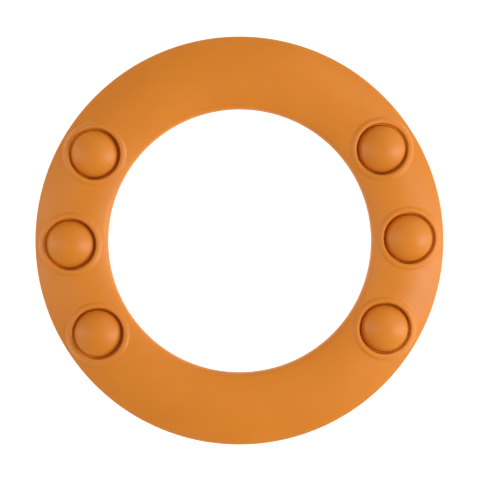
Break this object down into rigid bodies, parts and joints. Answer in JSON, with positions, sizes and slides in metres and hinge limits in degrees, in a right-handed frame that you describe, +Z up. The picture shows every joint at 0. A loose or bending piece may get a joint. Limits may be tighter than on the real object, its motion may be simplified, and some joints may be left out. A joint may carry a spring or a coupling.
{
  "type": "flying ring with pop domes",
  "caption": "Soft silicone flying ring with a crowned band, a round opening and push-through pop domes in raised collars along both sides.",
  "frame": {"origin": "centre of the ring, on the surface that it lies on with its domes up", "axes": "+Z up, out of the crowned face; the two rows of domes face each other across the YZ plane, and the middle dome of each row is on the X axis"},
  "size_m": [0.2, 0.2, 0.012],
  "materials": {
    "silicone": "moulded silicone, matte, orange",
    "thin_silicone": "the same silicone where it is thin enough to flex"
  },
  "bodies": {
    "ring": {"ring_body": "silicone", "pop_web_right_upper": "thin_silicone", "pop_web_right_middle": "thin_silicone", "pop_web_right_lower": "thin_silicone", "pop_web_left_upper": "thin_silicone", "pop_web_left_middle": "thin_silicone", "pop_web_left_lower": "thin_silicone"},
    "dome_right_upper": {"pop_dome_right_upper": "silicone"},
    "dome_right_middle": {"pop_dome_right_middle": "silicone"},
    "dome_right_lower": {"pop_dome_right_lower": "silicone"},
    "dome_left_upper": {"pop_dome_left_upper": "silicone"},
    "dome_left_middle": {"pop_dome_left_middle": "silicone"},
    "dome_left_lower": {"pop_dome_left_lower": "silicone"}
  },
  "joints": [
    {"name": "pop_right_upper", "type": "slide", "parent": "ring", "child": "dome_right_upper", "axis": [0, 0, -1], "range_m": [0, 0.0105]},
    {"name": "pop_right_middle", "type": "slide", "parent": "ring", "child": "dome_right_middle", "axis": [0, 0, -1], "range_m": [0, 0.0105]},
    {"name": "pop_right_lower", "type": "slide", "parent": "ring", "child": "dome_right_lower", "axis": [0, 0, -1], "range_m": [0, 0.0105]},
    {"name": "pop_left_upper", "type": "slide", "parent": "ring", "child": "dome_left_upper", "axis": [0, 0, -1], "range_m": [0, 0.0105]},
    {"name": "pop_left_middle", "type": "slide", "parent": "ring", "child": "dome_left_middle", "axis": [0, 0, -1], "range_m": [0, 0.0105]},
    {"name": "pop_left_lower", "type": "slide", "parent": "ring", "child": "dome_left_lower", "axis": [0, 0, -1], "range_m": [0, 0.0105]}
  ]
}
